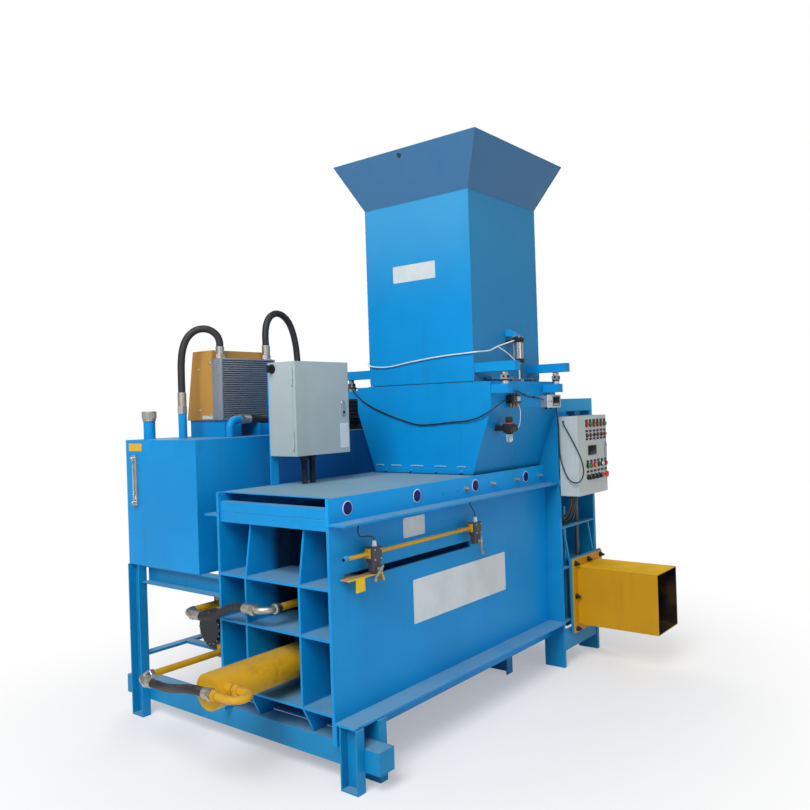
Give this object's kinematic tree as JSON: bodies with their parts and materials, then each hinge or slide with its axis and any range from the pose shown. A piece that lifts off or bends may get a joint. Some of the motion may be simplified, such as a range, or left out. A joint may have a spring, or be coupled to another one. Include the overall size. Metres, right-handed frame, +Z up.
{
  "type": "recycling baler",
  "caption": "Horizontal baler and bagger: weigh hopper over a hydraulic press, ram and cylinder at one end, gated side chute at the other, power pack alongside.",
  "frame": {"origin": "middle of the footprint on the floor", "axes": "+Z up, +X from the cylinder end towards the end block, -Y towards the chute's mouth"},
  "size_m": [2.9486, 2.38, 3.131],
  "materials": {
    "blue_paint": "gloss paint, dusty",
    "yellow_paint": "gloss paint",
    "orange_paint": "powder coat",
    "grey_paint": "textured powder coat",
    "bare_steel": "worn steel",
    "rod_chrome": "ground chrome",
    "zinc_fitting": "zinc plated",
    "dark_motor": "painted casting",
    "cooler_alloy": "dusty fins",
    "alloy": "satin",
    "hose_rubber": "matt",
    "black_plastic": "matt",
    "white_plastic": "smooth tube",
    "red_plastic": "gloss",
    "green_plastic": "gloss"
  },
  "bodies": {
    "frame": {"side_plates": "blue_paint", "chamber_plates": "blue_paint", "end_shelves": "blue_paint", "end_ribs": "blue_paint", "reaction_plates": "blue_paint", "top_cover": "blue_paint", "side_rails": "blue_paint", "legs": "blue_paint", "cross_beams": "blue_paint", "block_plates": "blue_paint", "block_webs": "blue_paint", "feed_hopper": "blue_paint", "weigh_hopper": "blue_paint", "weigh_brackets": "blue_paint", "oil_tank": "blue_paint", "chute": "yellow_paint", "main_cylinder": "yellow_paint", "rod_pipe": "yellow_paint", "block_cylinders": "yellow_paint", "valve_block": "yellow_paint", "cooler_shroud": "orange_paint", "control_box": "grey_paint", "panel_box": "grey_paint", "hose_fittings": "zinc_fitting", "pump_motor": "dark_motor", "cooler_core": "cooler_alloy", "load_cells": "alloy", "level_gauge": "alloy", "ram_hose": "hose_rubber", "rod_hose": "hose_rubber", "cooler_hose_left": "hose_rubber", "cooler_hose_right": "hose_rubber", "return_hose": "hose_rubber", "sensor_cable": "hose_rubber", "panel_cable": "hose_rubber", "air_gear": "black_plastic", "limit_switches": "black_plastic", "air_tube": "white_plastic"},
    "ram": {"ram": "blue_paint", "ram_rod": "rod_chrome", "trip_arm": "yellow_paint"},
    "ejector": {"ejector_plate": "bare_steel", "ejector_rod": "rod_chrome"},
    "gate": {"gate": "bare_steel", "gate_rod": "rod_chrome"},
    "flap_front": {"flap_front": "bare_steel"},
    "flap_rear": {"flap_rear": "bare_steel"},
    "air_rod_front": {"air_rod_front": "rod_chrome"},
    "air_rod_rear": {"air_rod_rear": "rod_chrome"},
    "control_box_door": {"control_box_door": "grey_paint"},
    "door_latch": {"door_latch": "black_plastic"},
    "isolator_knob": {"isolator_knob": "black_plastic"},
    "panel_door": {"panel_door": "grey_paint", "panel_controls": "black_plastic"},
    "emergency_stop": {"emergency_stop": "red_plastic"},
    "start_button": {"start_button": "green_plastic"},
    "filler_cap": {"filler_cap": "zinc_fitting"},
    "cooler_fan": {"cooler_fan": "black_plastic"},
    "limit_lever_left": {"limit_lever_left": "bare_steel"},
    "limit_lever_right": {"limit_lever_right": "bare_steel"}
  },
  "joints": [
    {"name": "ram_slide", "type": "slide", "parent": "frame", "child": "ram", "axis": [1, 0, 0], "range_m": [0, 0.94]},
    {"name": "ejector_slide", "type": "slide", "parent": "frame", "child": "ejector", "axis": [0, -1, 0], "range_m": [0, 0.77]},
    {"name": "gate_slide", "type": "slide", "parent": "frame", "child": "gate", "axis": [0, 0, 1], "range_m": [0, 0.365]},
    {"name": "flap_front_hinge", "type": "hinge", "parent": "frame", "child": "flap_front", "pos_m": [0.5543, -0.556, 1.795], "axis": [-1, 0, 0], "range_deg": [0, 80]},
    {"name": "flap_rear_hinge", "type": "hinge", "parent": "frame", "child": "flap_rear", "pos_m": [0.5543, 0.236, 1.795], "axis": [1, 0, 0], "range_deg": [0, 80]},
    {"name": "air_rod_front_slide", "type": "slide", "parent": "frame", "child": "air_rod_front", "axis": [0, 0, 1], "range_m": [0, 0.07714]},
    {"name": "air_rod_rear_slide", "type": "slide", "parent": "frame", "child": "air_rod_rear", "axis": [0, 0, 1], "range_m": [0, 0.07714]},
    {"name": "control_box_door_hinge", "type": "hinge", "parent": "frame", "child": "control_box_door", "pos_m": [-0.6867, 0.00525, 1.66], "axis": [0, 0, -1], "range_deg": [0, 110]},
    {"name": "door_latch_turn", "type": "hinge", "parent": "control_box_door", "child": "door_latch", "pos_m": [-0.3287, -0.015, 1.653], "axis": [0, 1, 0], "range_deg": [0, 90]},
    {"name": "isolator_knob_turn", "type": "hinge", "parent": "frame", "child": "isolator_knob", "pos_m": [-0.6807, 0.154, 1.872], "axis": [1, 0, 0], "range_deg": [0, 90]},
    {"name": "panel_door_hinge", "type": "hinge", "parent": "frame", "child": "panel_door", "pos_m": [1.3453, -0.76725, 1.315], "axis": [0, 0, 1], "range_deg": [0, 110]},
    {"name": "emergency_stop_press", "type": "slide", "parent": "panel_door", "child": "emergency_stop", "axis": [0, 1, 0], "range_m": [0, 0.006], "stiffness_N_per_m": 600},
    {"name": "start_button_press", "type": "slide", "parent": "panel_door", "child": "start_button", "axis": [0, 1, 0], "range_m": [0, 0.004], "stiffness_N_per_m": 600},
    {"name": "filler_cap_turn", "type": "hinge", "parent": "frame", "child": "filler_cap", "pos_m": [-0.9157, 0.915, 1.64], "axis": [0, 0, 1], "range_deg": [0, 90]},
    {"name": "cooler_fan_spin", "type": "hinge", "parent": "frame", "child": "cooler_fan", "pos_m": [-0.5082, 0.76, 1.782], "axis": [0, 1, 0], "continuous": true},
    {"name": "limit_lever_left_swing", "type": "hinge", "parent": "frame", "child": "limit_lever_left", "pos_m": [-0.7807, -0.634, 0.922], "axis": [0, 1, 0], "range_deg": [-40, 40], "stiffness_Nm_per_rad": 0.3},
    {"name": "limit_lever_right_swing", "type": "hinge", "parent": "frame", "child": "limit_lever_right", "pos_m": [0.0543, -0.634, 0.922], "axis": [0, 1, 0], "range_deg": [-50, 50], "stiffness_Nm_per_rad": 0.3}
  ],
  "couplings": [
    {"joint": "air_rod_front_slide", "follows": "flap_front_hinge", "m_per_rad": 0.055244},
    {"joint": "air_rod_rear_slide", "follows": "flap_rear_hinge", "m_per_rad": 0.055244}
  ]
}
